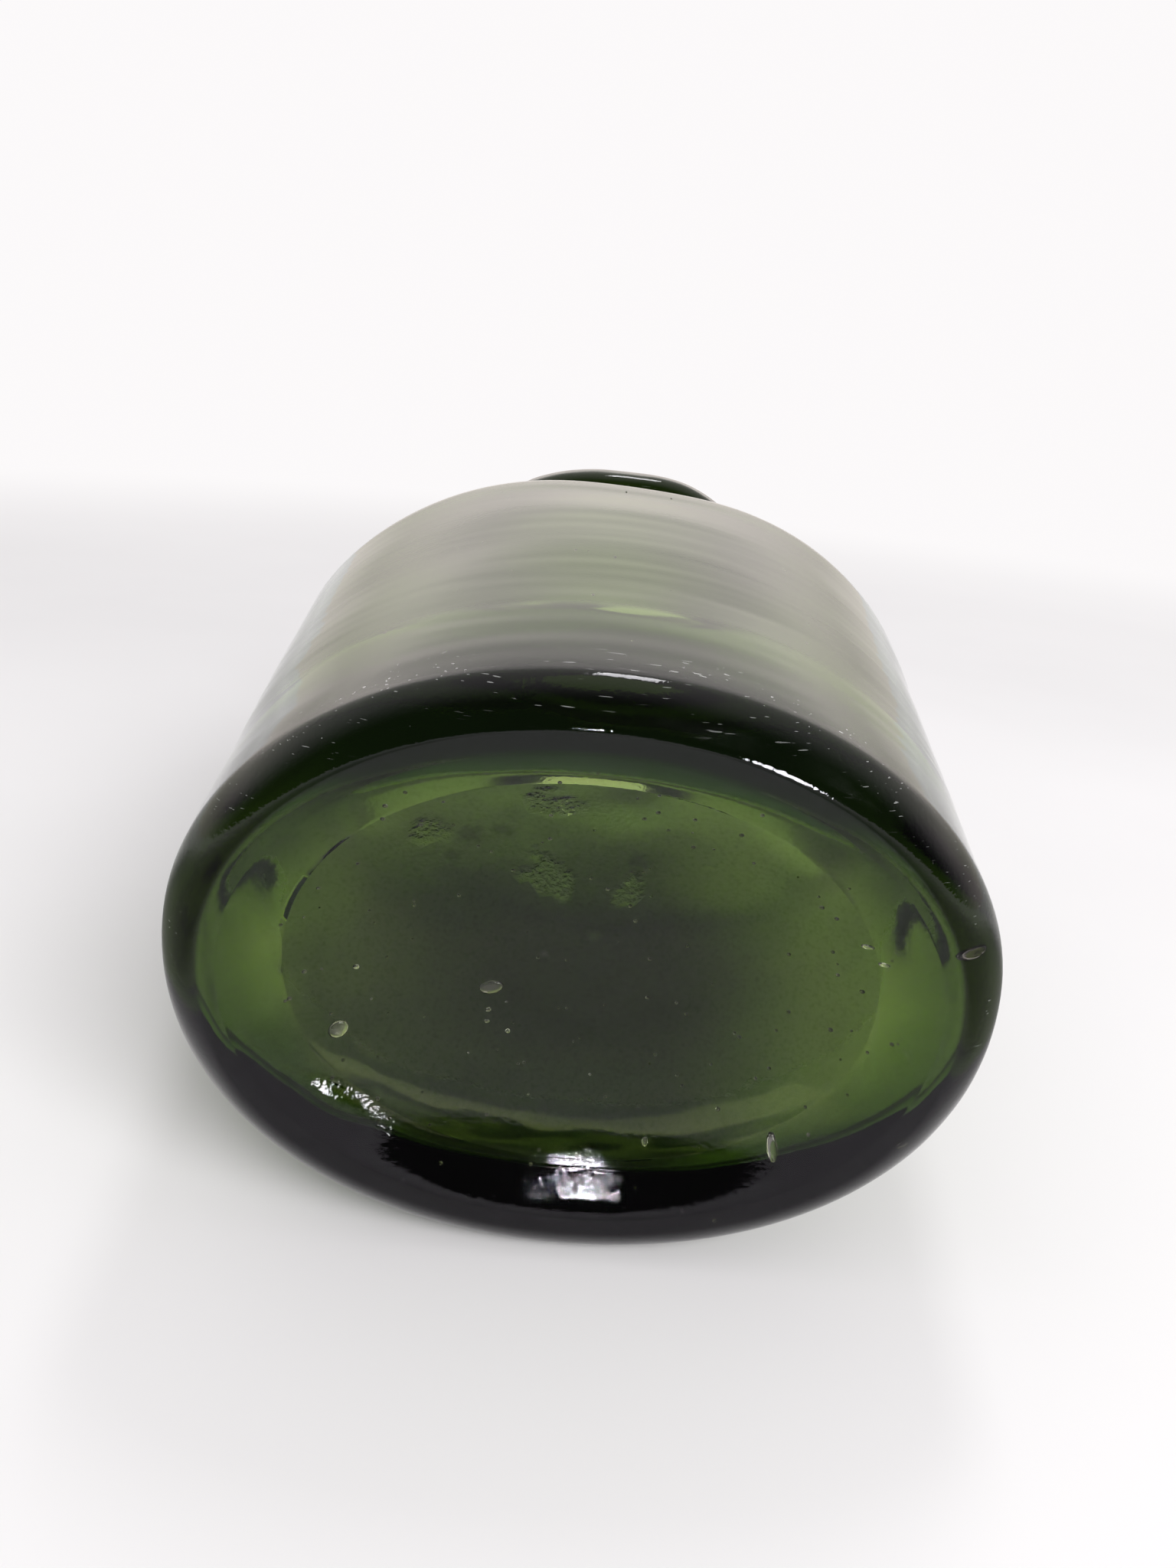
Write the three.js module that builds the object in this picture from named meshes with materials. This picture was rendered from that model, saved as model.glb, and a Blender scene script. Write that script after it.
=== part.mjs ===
// A mouth-blown bottle of oval section in dark green glass, lying on its broad side.
// The body is blown in a tapered dip mould, so it widens from the base to the shoulder.
// Its base is pushed up, and a wide collar of glass is laid on round the mouth.
// Millimetres, +Z up. The bottle's axis runs from the base towards +Y, and X is its width.

import * as THREE from 'three';

// Outside of the body, across the axis
const baseWidth = 115;
const baseDepth = 90.5;
const shoulderWidth = 136.5;
const shoulderDepth = 104;
const bodySquareness = 2.07;

// Outside of the body, along the axis from the standing ring
const shoulderStart = 112;
const shoulderLength = 34;
const shoulderEndAngle = THREE.MathUtils.degToRad(62);
const neckFilletLength = 14;
const mouthHeight = 202.5;

// Heel, standing ring and push-up of the base
const heelRadius = 6.4;
const standingRingWidth = 2.6;
const pushUpHeight = 9;
const pushUpFullness = 3;
const pushUpEdgeSoftness = 1.3;

// Neck, measured over the glass. It was drawn by hand and leans towards the upper side.
const neckRootRadius = 29;
const neckWaistRadius = 27;
const mouthRadius = 30.5;
const rimRounding = 1;
const neckLeanUp = 6;
const neckLeanSideways = 1.3;

// Thickness of the glass. The wall is thinner at the two narrow sides than at the broad ones,
// and it thickens towards the heel, where the cavity ends in a tight fillet.
const sideGlass = 3.2;
const broadGlass = 4.5;
const neckGlass = 4.6;
const pushUpGlass = 5;
const heavyHeelSide = 3;
const heavyHeelBroad = 9;
const heavyHeelHeight = 27.5;
const heavyHeelCurve = 1.5;
const cavityFillet = 3;

// Share of the push-up, out from its middle, that the floor of the cavity rides over
const floorShare = 0.86;

// The lowest section of the wall's inside stays at least this far above the heavy heel
const cornerClearance = 1;

// Collar laid on round the mouth
const collarWidth = 79;
const collarDepth = 72;
const collarSquareness = 2.55;
const collarThickness = 13;
const collarBackRise = 2.5;
const collarEdgeRadius = 4;
const collarSeatGap = 0.3;
const collarStandProud = 0.5;

// Fineness of the faceted surfaces. The facets around are a multiple of four.
const facetsAround = 60;
const heelSteps = 5;
const wallSteps = 4;
const shoulderSteps = 9;
const filletSteps = 5;
const neckSteps = 2;
const flareSteps = 3;
const baseSteps = 8;
const heavyHeelSteps = 5;
const cavityFilletSteps = 3;
const edgeSteps = 3;

const roundSquareness = 2;

// Heights that follow from the sizes
const shoulderRunOut = shoulderLength / Math.sin(shoulderEndAngle);
const neckStart = shoulderStart + shoulderRunOut + neckFilletLength;
const collarStart = mouthHeight - collarThickness;
const floorEdge = pushUpAt(floorShare) + pushUpGlass;
const heavyHeelTop = floorEdge + heavyHeelHeight;

const mix = THREE.MathUtils.lerp;
const smooth = (share) => THREE.MathUtils.smoothstep(share, 0, 1);

// Even steps from 0 to 1, with or without the first one
function steps(count, withFirst = false) {
  const all = Array.from({ length: count + 1 }, (_, i) => i / count);
  return withFirst ? all : all.slice(1);
}

// How far the bottle has leant over at a height: nothing up to the end of the shoulder
function leanAt(height) {
  const leanStart = shoulderStart + shoulderLength;
  return smooth((height - leanStart) / (mouthHeight - leanStart));
}

// A section across the axis: an oval of the given half sizes at a height above the base.
// Squareness 2 is an ellipse, and a larger one has fuller corners.
function section(height, halfWidth, halfDepth, squareness = bodySquareness) {
  return { height, halfWidth, halfDepth, squareness };
}

// The corners of a section, with a facet centred at the bottom, the top and both sides
function sectionCorners({ height, halfWidth, halfDepth, squareness }) {
  const corners = [];
  const lean = leanAt(height);
  for (let i = 0; i < facetsAround; i += 1) {
    const angle = ((i + 0.5) * 2 * Math.PI) / facetsAround;
    const across = Math.cos(angle);
    const up = Math.sin(angle);
    const x = Math.sign(across) * halfWidth * Math.abs(across) ** (2 / squareness);
    const z = Math.sign(up) * halfDepth * Math.abs(up) ** (2 / squareness);
    corners.push(new THREE.Vector3(x + lean * neckLeanSideways, height, z + lean * neckLeanUp));
  }
  return corners;
}

// A skin over a row of sections. It closes on a point at either end where one is given,
// and on its own first section where neither is.
function skinOver(sections, firstPoint, lastPoint) {
  const points = sections.flatMap(sectionCorners);
  const triangles = [];
  const corner = (row, i) => (row % sections.length) * facetsAround + (i % facetsAround);
  const isLoop = !firstPoint && !lastPoint;
  const bands = isLoop ? sections.length : sections.length - 1;
  for (let row = 0; row < bands; row += 1) {
    for (let i = 0; i < facetsAround; i += 1) {
      triangles.push(corner(row, i), corner(row + 1, i), corner(row, i + 1));
      triangles.push(corner(row + 1, i), corner(row + 1, i + 1), corner(row, i + 1));
    }
  }
  if (firstPoint) {
    const tip = points.push(firstPoint) - 1;
    for (let i = 0; i < facetsAround; i += 1) {
      triangles.push(tip, corner(0, i), corner(0, i + 1));
    }
  }
  if (lastPoint) {
    const tip = points.push(lastPoint) - 1;
    const last = sections.length - 1;
    for (let i = 0; i < facetsAround; i += 1) {
      triangles.push(corner(last, i), tip, corner(last, i + 1));
    }
  }
  const geometry = new THREE.BufferGeometry().setFromPoints(points);
  geometry.setIndex(triangles);
  geometry.computeVertexNormals();
  return geometry;
}

// The heel turns from the standing ring into the wall, which leans out with the mould's taper
const taperAngle = Math.atan(
  (shoulderWidth - baseWidth + shoulderDepth - baseDepth) / 4 / (shoulderStart - heelRadius),
);
const heelTurn = Math.PI / 2 - taperAngle;
const heelTop = heelRadius * (1 - Math.cos(heelTurn));
const wallLength = shoulderStart - heelTop;

// Half sizes of the tapered wall at a height. The shoulder starts from the same taper.
function wallHalfWidth(height) {
  return mix(baseWidth, shoulderWidth, (height - heelTop) / wallLength) / 2;
}

function wallHalfDepth(height) {
  return mix(baseDepth, shoulderDepth, (height - heelTop) / wallLength) / 2;
}

// The neck narrows a little to its waist and flares again under the collar
function neckRadius(height) {
  if (height > collarStart) {
    return mix(neckWaistRadius, mouthRadius, smooth((height - collarStart) / collarThickness));
  }
  const share = (height - neckStart) / (collarStart - neckStart);
  return mix(neckRootRadius, neckWaistRadius, THREE.MathUtils.clamp(share, 0, 1));
}

// The shoulder is a quarter oval that runs out into the neck through a hollow fillet.
// Fullness is 1 on the wall and 0 on the neck.
function shoulderPath() {
  const dome = steps(shoulderSteps).map((share) => {
    const angle = share * shoulderEndAngle;
    return new THREE.Vector2(shoulderLength * Math.sin(angle), Math.cos(angle));
  });
  const fillet = new THREE.QuadraticBezierCurve(
    dome.at(-1),
    new THREE.Vector2(shoulderRunOut, 0),
    new THREE.Vector2(shoulderRunOut + neckFilletLength, 0),
  );
  return [...dome, ...steps(filletSteps).map((share) => fillet.getPoint(share))];
}

function blendedSection(height, fullness) {
  const radius = neckRadius(height);
  return section(
    height,
    mix(radius, wallHalfWidth(height), fullness),
    mix(radius, wallHalfDepth(height), fullness),
    mix(roundSquareness, bodySquareness, fullness),
  );
}

// A section drawn in by a distance all round, or by another one across the depth
function drawnIn(outline, distance, height = outline.height, depthDistance = distance) {
  const { halfWidth, halfDepth, squareness } = outline;
  return section(height, halfWidth - distance, halfDepth - depthDistance, squareness);
}

// The section that lies a share of the way between two others
function between(first, last, share) {
  return section(
    mix(first.height, last.height, share),
    mix(first.halfWidth, last.halfWidth, share),
    mix(first.halfDepth, last.halfDepth, share),
    mix(first.squareness, last.squareness, share),
  );
}

// Base: the push-up from its first ring to the standing ring, then the heel
const heelOutline = section(0, baseWidth / 2, baseDepth / 2);
const ringOuter = drawnIn(heelOutline, heelRadius * Math.sin(heelTurn));
const ringInner = drawnIn(ringOuter, standingRingWidth);

// Height of the push-up at a share of the way from its middle to the standing ring
function pushUpAt(share) {
  return pushUpHeight * (1 - share ** pushUpFullness) ** pushUpEdgeSoftness;
}

// Rings from the middle outwards, closer together where the push-up turns down to the ring
function pushUpRings(lastShare, lift) {
  return steps(baseSteps).map((step) => {
    const share = lastShare * Math.sin((step * Math.PI) / 2);
    const { halfWidth, halfDepth, squareness } = ringInner;
    return section(pushUpAt(share) + lift, halfWidth * share, halfDepth * share, squareness);
  });
}

function outsideOfBase() {
  const heel = steps(heelSteps, true).map((share) => {
    const turn = share * heelTurn;
    const reach = heelRadius * (Math.sin(heelTurn) - Math.sin(turn));
    return drawnIn(heelOutline, reach, heelRadius * (1 - Math.cos(turn)));
  });
  return [...pushUpRings(1, 0), ...heel];
}

// Wall, shoulder and neck, from just above the heel to the rim
function outsideOfWall() {
  const wall = steps(wallSteps).map((share) => {
    return blendedSection(mix(heelTop, shoulderStart, share), 1);
  });
  const shoulder = shoulderPath().map((point) => {
    return blendedSection(shoulderStart + point.x, Math.max(point.y, 0));
  });
  const neck = steps(neckSteps).map((share) => blendedSection(mix(neckStart, collarStart, share), 0));
  const rimStart = mouthHeight - collarStandProud - rimRounding;
  const flare = steps(flareSteps).map((share) => blendedSection(mix(collarStart, rimStart, share), 0));
  return [...wall, ...shoulder, ...neck, ...flare];
}

// The cavity follows the outside at the thickness of the glass, square to the surface.
// It ends a little above the heavy heel.
function insideOfWall(outside) {
  const girth = (outline) => (outline.halfWidth + outline.halfDepth) / 2;
  const inside = outside.map((outline, i) => {
    const before = outside[Math.max(i - 1, 0)];
    const after = outside[Math.min(i + 1, outside.length - 1)];
    const along = new THREE.Vector2(after.height - before.height, girth(after) - girth(before));
    along.normalize();
    const share = THREE.MathUtils.clamp((outline.height - shoulderStart) / shoulderRunOut, 0, 1);
    const side = mix(sideGlass, neckGlass, share);
    const broad = mix(broadGlass, neckGlass, share);
    const height = outline.height + ((side + broad) / 2) * along.y;
    return drawnIn(outline, side * along.x, height, broad * along.x);
  });
  return inside.filter((outline) => outline.height > heavyHeelTop + cornerClearance).reverse();
}

// The rim rounds over from the outside of the neck to its bore
function roundedRim(outer, inner) {
  const top = outer.height + rimRounding;
  return [drawnIn(outer, rimRounding, top), drawnIn(inner, -rimRounding, top)];
}

// Bottom of the cavity: the heavy heel, a fillet and a floor that rides over the push-up
function insideOfBase() {
  const cavity = drawnIn(blendedSection(heavyHeelTop, 1), sideGlass, heavyHeelTop, broadGlass);
  const heelAt = (share) => {
    const reach = share ** heavyHeelCurve;
    const height = mix(heavyHeelTop, floorEdge, share);
    return drawnIn(cavity, heavyHeelSide * reach, height, heavyHeelBroad * reach);
  };
  const floor = pushUpRings(floorShare, pushUpGlass).reverse();
  const filletStart = heelAt(1 - cavityFillet / heavyHeelHeight);
  const corner = heelAt(1);
  const filletEnd = drawnIn(
    corner,
    Math.min(cavityFillet, (corner.halfWidth - floor[0].halfWidth) / 2),
    floorEdge,
    Math.min(cavityFillet, (corner.halfDepth - floor[0].halfDepth) / 2),
  );
  const heel = steps(heavyHeelSteps, true).map((share) => {
    return heelAt(share * (1 - cavityFillet / heavyHeelHeight));
  });
  const fillet = steps(cavityFilletSteps).map((share) => {
    return between(between(filletStart, corner, share), between(corner, filletEnd, share), share);
  });
  return [...heel, ...fillet, ...floor];
}

function blownBody() {
  const wall = outsideOfWall();
  const cavity = insideOfWall(wall);
  const sections = [
    ...outsideOfBase(),
    ...wall,
    ...roundedRim(wall.at(-1), cavity[0]),
    ...cavity,
    ...insideOfBase(),
  ];
  const underPoint = new THREE.Vector3(0, pushUpAt(0), 0);
  const floorPoint = new THREE.Vector3(0, pushUpAt(0) + pushUpGlass, 0);
  return skinOver(sections, underPoint, floorPoint);
}

// The collar hugs the flare of the neck, so it can't slip off over the mouth.
// Its outline is tooled a little square, its back slopes and its face at the mouth is flat.
function appliedCollar() {
  const roundingRoom = (collarThickness - collarBackRise) / 2;
  const rounding = Math.min(collarEdgeRadius, roundingRoom);
  const edge = (firstTurn, centreHeight) => steps(edgeSteps, true).map((share) => {
    const turn = firstTurn + (share * Math.PI) / 2;
    const inset = rounding * (1 - Math.cos(turn));
    const height = centreHeight + rounding * Math.sin(turn);
    return section(height, collarWidth / 2 - inset, collarDepth / 2 - inset, collarSquareness);
  });
  const outside = [
    ...edge(-Math.PI / 2, collarStart + collarBackRise + rounding),
    ...edge(0, mouthHeight - rounding),
  ];
  const seat = steps(flareSteps, true).reverse().map((share) => {
    const height = mix(collarStart, mouthHeight, share);
    const radius = neckRadius(height) + collarSeatGap;
    return section(height, radius, radius, roundSquareness);
  });
  return skinOver([...outside, ...seat]);
}

function glass(color) {
  return new THREE.MeshStandardMaterial({ color, roughness: 0.07, metalness: 0 });
}

function named(name, geometry, material) {
  const mesh = new THREE.Mesh(geometry, material);
  mesh.name = name;
  return mesh;
}

// The bottle lies on the straight line of its wall, so its tapered axis rises to the neck
function lieOnBroadSide(bottle) {
  const lowest = (outline) => Math.min(...sectionCorners(outline).map((corner) => corner.z));
  const fall = lowest(blendedSection(heelTop, 1)) - lowest(blendedSection(shoulderStart, 1));
  bottle.rotation.x = Math.atan2(fall, wallLength);
  const box = new THREE.Box3().setFromObject(bottle, true);
  const middle = box.getCenter(new THREE.Vector3());
  bottle.position.set(-middle.x, -middle.y, -box.min.z);
}

const bottle = new THREE.Group();
bottle.add(named('blown_body', blownBody(), glass(0x2f4a22)));
bottle.add(named('applied_collar', appliedCollar(), glass(0x1d2e17)));
lieOnBroadSide(bottle);
bottle.updateMatrixWorld(true);

export default bottle;
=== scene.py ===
"""A blown glass bottle of oval section in dark green glass, lying on its broad side and seen from its base."""
import math
from collections import namedtuple

import bpy
import numpy as np
from mathutils import Matrix, Vector


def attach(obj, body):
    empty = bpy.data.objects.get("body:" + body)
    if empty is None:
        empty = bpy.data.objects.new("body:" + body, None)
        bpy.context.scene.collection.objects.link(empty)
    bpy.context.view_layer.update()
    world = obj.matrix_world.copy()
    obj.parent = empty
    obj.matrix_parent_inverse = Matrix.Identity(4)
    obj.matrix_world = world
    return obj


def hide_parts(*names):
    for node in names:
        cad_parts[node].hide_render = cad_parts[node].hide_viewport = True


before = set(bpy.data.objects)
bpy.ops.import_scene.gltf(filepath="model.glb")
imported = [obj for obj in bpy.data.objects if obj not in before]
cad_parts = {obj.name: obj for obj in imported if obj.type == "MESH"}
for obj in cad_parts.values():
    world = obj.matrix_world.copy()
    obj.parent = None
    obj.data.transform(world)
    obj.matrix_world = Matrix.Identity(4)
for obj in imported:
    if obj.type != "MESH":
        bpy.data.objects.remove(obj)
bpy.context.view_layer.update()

MM = 0.001
QUARTER_TURN = math.pi / 2

# Outside of the body in millimetres, as in the solids. Height runs along the bottle's axis from its base.
BASE_WIDTH, BASE_DEPTH = 115, 90.5
SHOULDER_WIDTH, SHOULDER_DEPTH = 136.5, 104
BODY_SQUARENESS, ROUND_SQUARENESS = 2.07, 2
SHOULDER_START, SHOULDER_LENGTH = 112, 34
SHOULDER_END_ANGLE = math.radians(62)
NECK_FILLET_LENGTH = 14
MOUTH_HEIGHT = 202.5
HEEL_RADIUS, STANDING_RING_WIDTH = 6.4, 2.6
PUSH_UP_HEIGHT, PUSH_UP_FULLNESS, PUSH_UP_SOFTNESS = 9, 3, 1.3
NECK_ROOT_RADIUS, NECK_WAIST_RADIUS, MOUTH_RADIUS = 29, 27, 30.5
RIM_ROUNDING = 1
NECK_LEAN_UP, NECK_LEAN_SIDEWAYS = 6, 1.3

# Thickness of the glass
SIDE_GLASS, BROAD_GLASS, NECK_GLASS, PUSH_UP_GLASS = 3.2, 4.5, 4.6, 5
HEAVY_HEEL_SIDE, HEAVY_HEEL_BROAD, HEAVY_HEEL_HEIGHT, HEAVY_HEEL_FULLNESS = 3, 9, 27.5, 1.5
CAVITY_FILLET = 3
FLOOR_SHARE = 0.86

# Collar
COLLAR_WIDTH, COLLAR_DEPTH, COLLAR_SQUARENESS = 79, 72, 2.55
COLLAR_THICKNESS, COLLAR_BACK_RISE, COLLAR_EDGE_RADIUS = 13, 2.5, 4
COLLAR_SEAT_GAP, COLLAR_STAND_PROUD = 0.3, 0.5

# Heights that follow from the sizes
SHOULDER_RUN_OUT = SHOULDER_LENGTH / math.sin(SHOULDER_END_ANGLE)
NECK_START = SHOULDER_START + SHOULDER_RUN_OUT + NECK_FILLET_LENGTH
COLLAR_START = MOUTH_HEIGHT - COLLAR_THICKNESS
TAPER_ANGLE = math.atan(
    (SHOULDER_WIDTH - BASE_WIDTH + SHOULDER_DEPTH - BASE_DEPTH) / 4 / (SHOULDER_START - HEEL_RADIUS))
HEEL_TURN = QUARTER_TURN - TAPER_ANGLE
HEEL_TOP = HEEL_RADIUS * (1 - math.cos(HEEL_TURN))

# The heel's rounding is a little flatter than a circle and has crisp edges
HEEL_BEVEL = 1.25

# The bottle's own frame: the middle of its base in metres, and how far its axis rises towards the mouth
BASE_MIDDLE = Vector((0, -0.10064, 0.04473))
AXIS_RISE = math.radians(3.6344)

# Rows of points on each stretch of the skin, and points round each row
PUSH_UP_ROWS, RING_ROWS, HEEL_ROWS = 64, 4, 25
WALL_ROWS, SHOULDER_ROWS, NECK_FILLET_ROWS, NECK_ROWS, NECK_END_ROWS = 110, 40, 20, 16, 12
RIM_ROWS, HEAVY_HEEL_ROWS, CAVITY_FILLET_ROWS, FLOOR_EDGE_ROWS, FLOOR_ROWS = 4, 24, 10, 8, 60
COLLAR_EDGE_ROWS, COLLAR_SEAT_ROWS = 12, 12
AROUND = 160

Section = namedtuple("Section", "height half_width half_depth squareness")


def mix(a, b, share):
    return a + (b - a) * share


def smooth(share):
    share = np.clip(share, 0, 1)
    return share * share * (3 - 2 * share)


def rising(value, start, length):
    """0 up to the start and 1 from the end of the length on."""
    return smooth((value - start) / length)


def curve(first, corner, last, share):
    """A place on the curve that leaves first towards the corner and ends at last."""
    return (1 - share) ** 2 * first + 2 * share * (1 - share) * corner + share * share * last


def steps(count, with_first=False):
    shares = np.linspace(0, 1, count + 1)
    return shares if with_first else shares[1:]


def wall_half_width(height):
    return mix(BASE_WIDTH, SHOULDER_WIDTH, (height - HEEL_TOP) / (SHOULDER_START - HEEL_TOP)) / 2


def wall_half_depth(height):
    return mix(BASE_DEPTH, SHOULDER_DEPTH, (height - HEEL_TOP) / (SHOULDER_START - HEEL_TOP)) / 2


def neck_radius(height):
    if height > COLLAR_START:
        return mix(NECK_WAIST_RADIUS, MOUTH_RADIUS, smooth((height - COLLAR_START) / COLLAR_THICKNESS))
    share = np.clip((height - NECK_START) / (COLLAR_START - NECK_START), 0, 1)
    return mix(NECK_ROOT_RADIUS, NECK_WAIST_RADIUS, share)


def blended(height, fullness):
    """A section between the round neck and the full oval of the wall."""
    radius = neck_radius(height)
    return Section(height,
                   mix(radius, wall_half_width(height), fullness),
                   mix(radius, wall_half_depth(height), fullness),
                   mix(ROUND_SQUARENESS, BODY_SQUARENESS, fullness))


def drawn_in(section, distance, height=None, depth_distance=None):
    """The section drawn in by the distance all round, or by another one on its broad sides."""
    return Section(section.height if height is None else height,
                   section.half_width - distance,
                   section.half_depth - (distance if depth_distance is None else depth_distance),
                   section.squareness)


def scaled(section, share, height):
    return Section(height, section.half_width * share, section.half_depth * share, section.squareness)


HEEL_OUTLINE = Section(0, BASE_WIDTH / 2, BASE_DEPTH / 2, BODY_SQUARENESS)
RING_OUTER = drawn_in(HEEL_OUTLINE, HEEL_RADIUS * math.sin(HEEL_TURN))
RING_INNER = drawn_in(RING_OUTER, STANDING_RING_WIDTH)


def push_up_at(share):
    return PUSH_UP_HEIGHT * (1 - share ** PUSH_UP_FULLNESS) ** PUSH_UP_SOFTNESS


def floor_at(share):
    return push_up_at(share) + PUSH_UP_GLASS


FLOOR_EDGE = floor_at(FLOOR_SHARE)
HEAVY_HEEL_TOP = FLOOR_EDGE + HEAVY_HEEL_HEIGHT
CAVITY_STARTS_ABOVE = HEAVY_HEEL_TOP + 0.5


def outside_of_base():
    """From the middle of the push-up over the standing ring and the heel to the foot of the wall."""
    sections = [scaled(RING_INNER, s, push_up_at(s)) for s in np.sin(steps(PUSH_UP_ROWS) * QUARTER_TURN)]
    sections += [drawn_in(RING_INNER, -STANDING_RING_WIDTH * s, 0) for s in steps(RING_ROWS)[:-1]]
    for s in steps(HEEL_ROWS - 1, True):
        turn = s * HEEL_TURN
        out = math.sin(turn) ** HEEL_BEVEL / math.sin(HEEL_TURN) ** HEEL_BEVEL
        rise = HEEL_RADIUS * (1 - math.cos(turn) ** HEEL_BEVEL) / (1 - math.cos(HEEL_TURN) ** HEEL_BEVEL)
        reach = HEEL_RADIUS * math.sin(HEEL_TURN) * (1 - out)
        sections.append(drawn_in(HEEL_OUTLINE, reach, rise * HEEL_TOP / HEEL_RADIUS))
    return sections


def outside_of_wall():
    """Wall, shoulder, fillet and neck, up to the rounding of the rim."""
    sections = [blended(mix(HEEL_TOP, SHOULDER_START, s), 1) for s in steps(WALL_ROWS)]
    for s in steps(SHOULDER_ROWS):
        angle = s * SHOULDER_END_ANGLE
        sections.append(blended(SHOULDER_START + SHOULDER_LENGTH * math.sin(angle), math.cos(angle)))
    for s in steps(NECK_FILLET_ROWS):
        along = curve(SHOULDER_LENGTH * math.sin(SHOULDER_END_ANGLE), SHOULDER_RUN_OUT,
                      SHOULDER_RUN_OUT + NECK_FILLET_LENGTH, s)
        sections.append(blended(SHOULDER_START + along, curve(math.cos(SHOULDER_END_ANGLE), 0, 0, s)))
    sections += [blended(mix(NECK_START, COLLAR_START, s), 0) for s in steps(NECK_ROWS)]
    rim_start = MOUTH_HEIGHT - COLLAR_STAND_PROUD - RIM_ROUNDING
    sections += [blended(mix(COLLAR_START, rim_start, s), 0) for s in steps(NECK_END_ROWS)]
    return sections


def inside_of_wall(outside):
    """The cavity from the rim down to the heavy heel, with every second row of the outside."""
    inside = []
    for i, section in enumerate(outside):
        before, after = outside[max(i - 1, 0)], outside[min(i + 1, len(outside) - 1)]
        widening = (after.half_width + after.half_depth - before.half_width - before.half_depth) / 2
        along = Vector((after.height - before.height, widening)).normalized()
        share = np.clip((section.height - SHOULDER_START) / SHOULDER_RUN_OUT, 0, 1)
        side, broad = mix(SIDE_GLASS, NECK_GLASS, share), mix(BROAD_GLASS, NECK_GLASS, share)
        height = section.height + (side + broad) / 2 * along.y
        inside.append(drawn_in(section, side * along.x, height, broad * along.x))
    return [s for s in inside if s.height > CAVITY_STARTS_ABOVE][::-2]


def rounded_rim(outer, inner):
    top = outer.height + RIM_ROUNDING
    sections = []
    for s in steps(RIM_ROWS):
        turn = s * QUARTER_TURN
        sections.append(drawn_in(outer, RIM_ROUNDING * (1 - math.cos(turn)),
                                 outer.height + RIM_ROUNDING * math.sin(turn)))
    for s in steps(RIM_ROWS, True)[:-1]:
        turn = (1 - s) * QUARTER_TURN
        sections.append(drawn_in(inner, -RIM_ROUNDING * (1 - math.cos(turn)),
                                 top - RIM_ROUNDING * (1 - math.sin(turn))))
    return sections


def inside_of_base():
    """The glass thickens towards the heel, turns on a tight fillet, and the floor rides over the push-up."""
    cavity = drawn_in(blended(HEAVY_HEEL_TOP, 1), SIDE_GLASS, None, BROAD_GLASS)
    sections = []

    def heavy(share, height):
        reach = share ** HEAVY_HEEL_FULLNESS
        return drawn_in(cavity, HEAVY_HEEL_SIDE * reach, height, HEAVY_HEEL_BROAD * reach)

    for s in steps(HEAVY_HEEL_ROWS, True) * (1 - CAVITY_FILLET / HEAVY_HEEL_HEIGHT):
        sections.append(heavy(s, HEAVY_HEEL_TOP - s * HEAVY_HEEL_HEIGHT))
    start, corner = sections[-1], heavy(1, FLOOR_EDGE)
    rim = scaled(RING_INNER, FLOOR_SHARE, FLOOR_EDGE)
    end = Section(FLOOR_EDGE,
                  corner.half_width - min(CAVITY_FILLET, (corner.half_width - rim.half_width) / 2),
                  corner.half_depth - min(CAVITY_FILLET, (corner.half_depth - rim.half_depth) / 2),
                  BODY_SQUARENESS)
    for s in steps(CAVITY_FILLET_ROWS):
        sections.append(Section(*(curve(a, c, e, s) for a, c, e in zip(start, corner, end))))
    for s in steps(FLOOR_EDGE_ROWS):
        sections.append(Section(*(mix(e, r, s) for e, r in zip(end, rim))))
    for s in np.sin(steps(FLOOR_ROWS)[:-1][::-1] * QUARTER_TURN):
        sections.append(scaled(RING_INNER, FLOOR_SHARE * s, floor_at(FLOOR_SHARE * s)))
    return sections


def lean_at(height):
    start = SHOULDER_START + SHOULDER_LENGTH
    return smooth((height - start) / (MOUTH_HEIGHT - start))


def superellipse(half_size, share, squareness):
    return np.sign(share) * half_size * np.abs(share) ** (2 / squareness)


def ring_points(section):
    angle = (np.arange(AROUND) + 0.5) * 2 * math.pi / AROUND
    lean = lean_at(section.height)
    x = superellipse(section.half_width, np.cos(angle), section.squareness) + lean * NECK_LEAN_SIDEWAYS
    z = superellipse(section.half_depth, np.sin(angle), section.squareness) + lean * NECK_LEAN_UP
    return np.column_stack([x, np.full(AROUND, float(section.height)), z])


def skin(sections, first_tip=None, last_tip=None):
    """Points and faces of a skin over the sections. It closes on itself where no tip is given."""
    points = np.concatenate([ring_points(s) for s in sections])
    rows = len(sections)
    closed = first_tip is None
    faces = []
    here = np.arange(AROUND)
    beside = (here + 1) % AROUND
    for row in range(rows if closed else rows - 1):
        a, b = row * AROUND, (row + 1) % rows * AROUND
        faces += np.column_stack([a + here, b + here, b + beside, a + beside]).tolist()
    if not closed:
        points = np.concatenate([points, [first_tip], [last_tip]])
        last = (rows - 1) * AROUND
        first_tips, last_tips = np.full(AROUND, rows * AROUND), np.full(AROUND, rows * AROUND + 1)
        faces += np.column_stack([first_tips, here, beside]).tolist()
        faces += np.column_stack([last + here, last_tips, last + beside]).tolist()
    return points, faces


# Noise that is the same on every run. The lattice starts far enough out to keep its cells positive.
HASH_ROUNDS = 2
HASH_FACTORS = (73856093, 19349663, 83492791)
HASH_SEED_FACTOR, HASH_SEED_START, HASH_MIX = 2654435761, 12345, np.uint64(0x45D9F3B)
LOW_BITS, HALF_OF_THEM = np.uint64(0xFFFFFFFF), np.uint64(16)
LATTICE_START, SEEDS_PER_NOISE = 1000, 7
NOISE_GAIN = 1.6


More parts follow.
